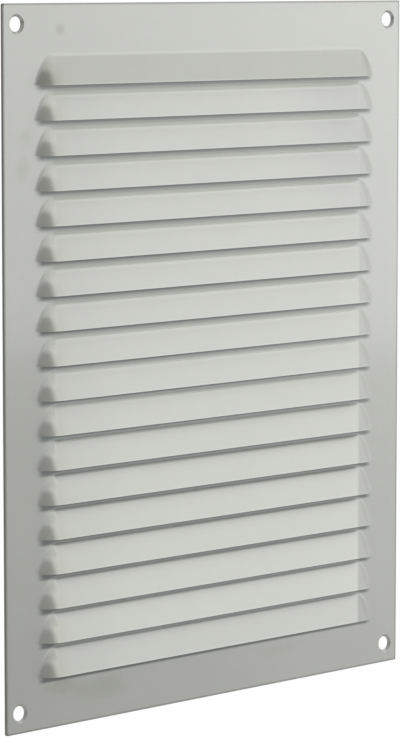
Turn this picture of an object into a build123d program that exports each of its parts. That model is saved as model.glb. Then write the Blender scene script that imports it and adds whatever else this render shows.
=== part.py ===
from build123d import *
import math
import os

# Louvred ventilation panel, pressed from one sheet of metal, in millimetres.
# The panel stands upright. Its back face lies on the plane y = 0, against the wall, and its
# louvres stand out in front, towards -Y. X runs across the panel and Z up it. The origin is
# the middle of the back face, which is also the middle of the four screw holes.

# Sheet
panel_width = 200.0
panel_height = 250.0
sheet_thickness = 1.0
corner_radius = 0.8

# Louvres, each cut along a straight line and pressed out above it, so that it opens downwards
side_margin = 15.0
top_margin = 17.4
least_bottom_margin = 15.0
louvre_pitch = 12.0
strip_height = 1.7
stand_out = 4.5
end_round = 10.0
inner_bend = 2.0

# Screw holes
hole_diameter = 5.2
hole_side_inset = 6.3
hole_end_inset = 7.0
countersink_diameter = 6.8
countersink_angle = 100.0

# A flat strip is left between each louvre and the cut above it
blade_height = louvre_pitch - strip_height
louvre_length = panel_width - 2 * side_margin

# As many louvres as the height takes, counted down from the top margin
highest_cut = panel_height / 2 - top_margin - blade_height
louvre_count = 1 + math.floor((highest_cut + panel_height / 2 - least_bottom_margin) / louvre_pitch)
lowest_cut = highest_cut - (louvre_count - 1) * louvre_pitch

# The bend round the root is wider at the back by the thickness of the sheet
outer_bend = inner_bend + sheet_thickness

# Each louvre is made in a band of sheet one pitch high, which also holds the bends at its ends
band_width = louvre_length + 2 * outer_bend

# The blade slopes from its root on the sheet to its lip at the cut
blade_slope = math.atan(stand_out / blade_height)

# Each end is rounded by a cylinder that lies along the slope of the blade and touches it at a
# crease. It meets the corner of the cut, which lies corner_depth behind the plane of the blade.
corner_depth = stand_out * math.cos(blade_slope)
end_run = math.sqrt(corner_depth * (2 * end_round - corner_depth))
crease_at = louvre_length / 2 - end_run

# How near to a plane an edge lies to count as on it
nearness = 0.01


def louvre_end():
    """The cylinder that rounds the right end, long enough to pass through the sheet."""
    middle_of_crease = Pos(crease_at, -sheet_thickness - stand_out / 2, blade_height / 2)
    along_blade = middle_of_crease * Rot(-math.degrees(blade_slope), 0, 0)
    return along_blade * Pos(0, end_round, 0) * Cylinder(end_round, 2 * louvre_pitch)


def blade():
    """The straight part, between the creases where the ends touch it."""
    left_crease = Plane(origin=(-crease_at, -sheet_thickness, 0), x_dir=(0, 0, 1), z_dir=(1, 0, 0))
    section = Polygon((0, 0), (blade_height, 0), (0, stand_out), align=None)
    return extrude(left_crease * section, amount=2 * crease_at)


def raised_form():
    """One louvre raised from its band of sheet, solid behind and with its bend still sharp."""
    reach = Pos(0, -sheet_thickness, 0) * Box(
        louvre_length, stand_out, blade_height, align=(Align.CENTER, Align.MAX, Align.MIN)
    )
    band = Box(
        band_width, sheet_thickness, louvre_pitch, align=(Align.CENTER, Align.MAX, Align.MIN)
    )
    right_end = louvre_end()
    return band + ((blade() + right_end + mirror(right_end, about=Plane.YZ)) & reach)


def bent_form(bend):
    """The raised form with a bend round its root. The cut along z = 0 stays sharp."""
    form = raised_form()
    at_front = form.edges().filter_by_position(
        Axis.Y, -sheet_thickness - nearness, -sheet_thickness + nearness
    )
    in_length = at_front.filter_by(lambda edge: abs(edge.center().X) < louvre_length / 2)
    return form.fillet(bend, in_length.filter_by_position(Axis.Z, nearness, louvre_pitch - nearness))


def louvre():
    """One louvre in its band. The back follows the front, one thickness of sheet behind it."""
    return bent_form(inner_bend) - Pos(0, sheet_thickness, 0) * bent_form(outer_bend)


def louvred_panel():
    """The flat blank with a window for the louvres, the louvres in it, and the screw holes."""
    window_height = louvre_count * louvre_pitch
    cuts = [(0, 0, lowest_cut + number * louvre_pitch) for number in range(louvre_count)]
    one_louvre = louvre()
    with BuildPart() as panel:
        with BuildSketch(Plane.XZ):
            RectangleRounded(panel_width, panel_height, corner_radius)
            with Locations((0, lowest_cut + window_height / 2)):
                Rectangle(band_width, window_height, mode=Mode.SUBTRACT)
        extrude(amount=sheet_thickness)
        with Locations(cuts):
            add(one_louvre)
        with Locations(Plane.XZ.offset(sheet_thickness)):
            with GridLocations(
                panel_width - 2 * hole_side_inset, panel_height - 2 * hole_end_inset, 2, 2
            ):
                CounterSinkHole(
                    hole_diameter / 2,
                    countersink_diameter / 2,
                    counter_sink_angle=countersink_angle,
                )
    return panel.part


os.makedirs("parts", exist_ok=True)
panel = louvred_panel()
panel.label = "louvred_panel"
export_step(panel, "parts/louvred_panel.step")
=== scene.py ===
import math

import bpy
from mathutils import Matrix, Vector

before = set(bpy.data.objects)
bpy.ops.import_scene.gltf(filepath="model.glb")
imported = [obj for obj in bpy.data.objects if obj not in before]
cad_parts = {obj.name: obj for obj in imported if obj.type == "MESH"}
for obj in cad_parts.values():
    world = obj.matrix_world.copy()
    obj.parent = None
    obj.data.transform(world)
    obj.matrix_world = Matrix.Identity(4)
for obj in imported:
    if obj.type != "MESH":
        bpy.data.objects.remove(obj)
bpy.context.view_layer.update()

bpy.ops.object.select_all(action="DESELECT")


# The louvred panel
# One sheet of aluminium, lanced and pressed into louvres, with a countersunk hole in each corner.
# Its finish is satin under a clear, glossy coat.

class Signal:
    """A socket in a node tree. Sums and products of signals add the Math nodes that they need."""

    def __init__(self, tree, socket=None):
        self.tree = tree
        self.socket = socket

    def node(self, kind, settings=None, inputs=None, output=0):
        made = self.tree.nodes.new("ShaderNode" + kind)
        for name, value in (settings or {}).items():
            setattr(made, name, value)
        for name, value in (inputs or {}).items():
            if isinstance(value, Signal):
                self.tree.links.new(value.socket, made.inputs[name])
            else:
                made.inputs[name].default_value = value
        return Signal(self.tree, made.outputs[output])

    def out(self, name):
        return Signal(self.tree, self.socket.node.outputs[name])

    def math(self, operation, first, second=0.0):
        return self.node("Math", {"operation": operation}, {0: first, 1: second})

    def __add__(self, other):
        return self.math("ADD", self, other)

    def __radd__(self, other):
        return self.math("ADD", other, self)

    def __sub__(self, other):
        return self.math("SUBTRACT", self, other)

    def __rsub__(self, other):
        return self.math("SUBTRACT", other, self)

    def __mul__(self, other):
        return self.math("MULTIPLY", self, other)

    def __rmul__(self, other):
        return self.math("MULTIPLY", other, self)

    def math_of(self, operation):
        """The result of an operation that takes this signal alone."""
        return self.node("Math", {"operation": operation}, {0: self})

    def between(self, low, high, to_low=0.0, to_high=1.0):
        """A smooth change from one value to another as this signal goes from low to high."""
        return self.node(
            "MapRange",
            {"interpolation_type": "SMOOTHSTEP"},
            {
                "Value": self,
                "From Min": low,
                "From Max": high,
                "To Min": to_low,
                "To Max": to_high,
            },
        )


def satin_aluminium():
    material = bpy.data.materials.new("satin_aluminium")
    material.use_nodes = True
    tree = material.node_tree
    shader = tree.nodes["Principled BSDF"]
    shader.inputs["Metallic"].default_value = 1.0
    shader.inputs["Coat Roughness"].default_value = 0.06
    shader.inputs["Coat IOR"].default_value = 1.9

    # Where a point lies on the panel, in metres from its middle
    start = Signal(tree)
    place = start.node("TexCoord", output="Object")
    split = start.node("SeparateXYZ", inputs={"Vector": place})
    across = split.out("X")
    depth = split.out("Y")
    height = split.out("Z")
    from_middle = across.math_of("ABSOLUTE")
    from_mid_height = height.math_of("ABSOLUTE")
    sheet_thickness = 0.001
    stand_out = -1 * depth - sheet_thickness
    raised = stand_out.between(0.0001, 0.0004)

    # How far a point is from one cut to the next, as a share of the pitch of the louvres
    louvre_pitch = 0.012
    lowest_cut = -0.1067
    row = ((height - lowest_cut) * (1 / louvre_pitch)).math_of("FRACT")

    def noise(scale, detail, stretch=(1, 1, 1)):
        stretched = start.node("VectorMath", {"operation": "MULTIPLY"}, {0: place, 1: stretch})
        inputs = {"Vector": stretched, "Scale": scale, "Detail": detail}
        return start.node("TexNoise", inputs=inputs)

    def spot(x, z, width, tall):
        """One in the middle of a soft mark on the sheet, and nothing outside it."""
        centred = start.node("VectorMath", {"operation": "SUBTRACT"}, {0: place, 1: (x, 0, z)})
        shaped = start.node(
            "VectorMath", {"operation": "MULTIPLY"}, {0: centred, 1: (2 / width, 0, 2 / tall)}
        )
        length = start.node("VectorMath", {"operation": "LENGTH"}, {0: shaped}, output="Value")
        return (length + (blotches - 0.5) * 0.9).between(1.0, 0.35)

    grain = noise(1.0, 3, (140, 2200, 2600))
    blotches = noise(170, 3)
    clouds = noise(22, 2)

    # The strip under each lip has painted shade and a thinner coat, more so lower down. On the
    # upper half the painted shade is deepest at the cut. The lip itself has a painted highlight.
    below_a_cut = height.between(-0.1095, -0.1085) * height.between(0.0985, 0.0975)
    in_length = from_middle.between(0.086, 0.082) * below_a_cut
    upper_half = height.between(-0.05, 0.03)
    painted_shade_under_lip = row.between(0.76, 0.86) * in_length * (1 - upper_half)
    painted_shade_at_cut = row.between(0.78, 0.94) * in_length * upper_half
    painted_lip_shade = (
        painted_shade_under_lip * height.between(0.12, -0.08, 0.02, 0.62)
        + painted_shade_at_cut * height.between(0.1, 0.0, 0.54, 0.72)
    )
    # A painted highlight along the edge of each lip
    painted_lip_highlight = row.between(0.06, 0.0) * stand_out.between(0.002, 0.0035)

    # The sheared edges of the sheet are dull
    sheared = from_middle.between(0.0991, 0.0997) + from_mid_height.between(0.1241, 0.1247)

    # The first louvre has painted shade and is a little yellower than the rest. The left of each
    # blade also has a little painted shade. The last louvre and the upper right corner are a
    # little darker.
    first = height.between(0.0972, 0.0976) * raised
    last = height.between(-0.0955, -0.0962) * raised
    others = raised - first
    left_of_blade = across.between(-0.045, -0.072) * across.between(-0.079, -0.0765) * others
    upper_right = across.between(0.035, 0.070) * height.between(0.02, 0.08) * others

    # The left ends have mottled, yellowish painted shade, and painted light towards the top
    mottled_left_end_shade = across.between(-0.070, -0.078) * stand_out.between(0.0005, 0.002) * blotches
    left_top = across.between(-0.0765, -0.0785) * row.between(0.22, 0.58) * raised

    # The right ends have painted shade and a slightly thinner coat, least at the top
    past_crease = (across + stand_out).between(0.0770, 0.0788)
    right_end_shade = past_crease * raised * height.between(0.1, 0.0, 0.02, 0.09)

    # Marks from handling, on the upper left of the sheet and along its lower edge
    smudges = (
        spot(-0.0735, 0.1160, 0.007, 0.006)
        + spot(-0.0900, 0.0800, 0.007, 0.008) * 0.5
        + spot(-0.0910, 0.0690, 0.008, 0.012) * 0.5
        + spot(-0.0740, -0.1110, 0.022, 0.008) * 1.5
        + spot(-0.0550, -0.1145, 0.032, 0.010) * 1.2
        + spot(0.0350, -0.1130, 0.024, 0.005) * 0.6
    )

    bare_red, bare_green, bare_blue = 0.56, 0.57, 0.53
    tone = (
        1.0
        + (clouds - 0.5) * 0.10
        + (grain - 0.5) * 0.05
        + (blotches - 0.5) * 0.04
        - smudges * 0.05
        - mottled_left_end_shade * 0.06
        - first * 0.20
        - last * 0.07
        - left_of_blade * 0.05
        - upper_right * 0.09
        - painted_lip_shade
        - right_end_shade
        - sheared * 0.35
        + left_top * 0.10
        + painted_lip_highlight * 0.10
    )
    yellow = first * 0.02 + mottled_left_end_shade * 0.08 + smudges * 0.01
    # A slight cool tint in the painted shade under the lips
    painted_shade_tint = (painted_shade_under_lip + painted_shade_at_cut) * 0.05
    colour = start.node(
        "CombineXYZ",
        inputs={
            "X": tone * (1 - painted_shade_tint) * bare_red,
            "Y": tone * bare_green,
            "Z": tone * (1 - yellow) * bare_blue,
        },
    )
    tree.links.new(colour.socket, shader.inputs["Base Color"])

    roughness = 0.38 + clouds * 0.04 + grain * 0.04 + smudges * 0.06
    tree.links.new(roughness.socket, shader.inputs["Roughness"])
    coat = 1.0 - smudges * 0.25 - painted_shade_under_lip * 0.4 - painted_shade_at_cut * 0.5 - right_end_shade - sheared * 0.5
    tree.links.new(coat.socket, shader.inputs["Coat Weight"])

    # The left ends look flatter near the blade and towards the top than the solid is, and the
    # right ends and the roots of the upper louvres look flatter all over
    square_to_sheet = (0, -1, 0)
    square_to_blade = (0, -0.916, 0.400)

    def leaning(normal, towards, amount):
        """The normal turned part of the way to another direction."""
        scale = {"operation": "SCALE"}
        kept = start.node("VectorMath", scale, {"Vector": normal, "Scale": 1 - amount})
        added = start.node("VectorMath", scale, {"Vector": towards, "Scale": amount})
        return start.node("VectorMath", {"operation": "ADD"}, {0: kept, 1: added})

    normal = start.node("NewGeometry", output="Normal")
    faces = start.node("SeparateXYZ", inputs={"Vector": normal})
    in_front = faces.out("Y").between(-0.1, -0.3)
    on_left = across.between(-0.0765, -0.0775) * raised * in_front
    on_right = past_crease * across.between(0.0890, 0.0885) * in_front
    at_root = row.between(0.55, 0.78) * in_length * upper_half * in_front * (1 - on_right)
    near_blade = on_left * across.between(-0.0815, -0.0785)
    to_sheet = left_top * in_front * 0.85 + on_right * 0.8 + at_root * 0.9
    leant = leaning(normal, square_to_blade, near_blade)
    leant = leaning(leant, square_to_sheet, to_sheet.between(0.0, 1.0))
    unit_length = start.node("VectorMath", {"operation": "NORMALIZE"}, {0: leant})
    relief = noise(900, 2) * 0.5 + clouds * 4.0 + grain * 0.3
    bump = start.node(
        "Bump",
        inputs={"Strength": 0.6, "Distance": 0.00002, "Height": relief, "Normal": unit_length},
    )
    tree.links.new(bump.socket, shader.inputs["Normal"])
    return material


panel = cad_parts["louvred_panel"]
panel.data.materials.clear()
panel.data.materials.append(satin_aluminium())


# The floor
# A round pale board below the panel, which catches its shadow. It isn't part of the object.

floor_radius = 1.1
floor_height = -0.4
bpy.ops.mesh.primitive_circle_add(
    vertices=96, radius=floor_radius, fill_type="NGON", location=(0, 0, floor_height)
)
floor = bpy.context.object
floor.name = "floor"
board = bpy.data.materials.new("pale_board")
board.use_nodes = True
board_shader = board.node_tree.nodes["Principled BSDF"]
board_shader.inputs["Base Color"].default_value = (0.86, 0.86, 0.86, 1)
board_shader.inputs["Roughness"].default_value = 0.7
floor.data.materials.append(board)


# The light
# A white studio, with the panel in a light tent that the camera doesn't see. The tent glows, most
# to the right of the panel at its height, and least in front of it on the left and low down.

world = bpy.data.worlds.new("studio")
world.use_nodes = True
world.node_tree.nodes["Background"].inputs["Color"].default_value = (1, 1, 1, 1)
bpy.context.scene.world = world

tent_radius = 5
bpy.ops.mesh.primitive_ico_sphere_add(subdivisions=5, radius=tent_radius, location=(0, 0, 0))
tent = bpy.context.object
tent.name = "light_tent"
tent.visible_camera = False
glow = bpy.data.materials.new("glow")
glow.use_nodes = True
tree = glow.node_tree
tree.nodes.remove(tree.nodes["Principled BSDF"])
sky = Signal(tree)
place = sky.node("TexCoord", output="Object")
direction = sky.node("VectorMath", {"operation": "NORMALIZE"}, {"Vector": place})
parts = sky.node("SeparateXYZ", inputs={"Vector": direction})
across = parts.out("X")
away = parts.out("Y")
up = parts.out("Z")

# In front of the panel the light grows from left to right and falls off below the horizon. A
# lamp on the right adds to it, mostly at the height of the panel.
left_to_right = across.between(-0.15, 0.55, 0.47, 1.0)
above_horizon = up.between(-0.115, -0.09, 0.18, 0.9)
lamp_level = up.between(0.1, 0.38, 0.77, 0.40) + up.between(0.38, 0.48) * 0.15
lamp = (across + up.between(0.1, 0.4) * 0.04).between(0.58, 0.82) * lamp_level
front = left_to_right * above_horizon + lamp

# Behind the panel the light is nearly even, and dimmer on the left
behind = away.between(0.2, 0.9, 0.66, 0.85) * across.between(-0.7, 0.0, 0.35, 1.0)
is_behind = (away - up.between(0.1, 0.4) * 0.12).between(-0.62, -0.2)
strength = is_behind * behind + (1 - is_behind) * front
emission = sky.node("Emission", inputs={"Color": (1, 1, 1, 1), "Strength": strength})
tree.links.new(emission.socket, tree.nodes["Material Output"].inputs["Surface"])
tent.data.materials.append(glow)


# The camera
# It stands to the left of the panel, a little above its middle.

camera_place = Vector((-0.928, -0.914, 0.1348))
camera_turn = math.radians(45.284)
camera_dip = math.radians(6.165)
focal_length = 178.4

camera_data = bpy.data.cameras.new("camera")
camera_data.lens = focal_length
camera_data.sensor_width = 36
camera_data.clip_start = 0.05
camera_data.clip_end = 6 * tent_radius
camera = bpy.data.objects.new("camera", camera_data)
bpy.context.scene.collection.objects.link(camera)
camera.location = camera_place
camera.rotation_euler = (math.radians(90) - camera_dip, 0, -camera_turn)
bpy.context.scene.camera = camera

bpy.context.scene.view_settings.view_transform = "Standard"
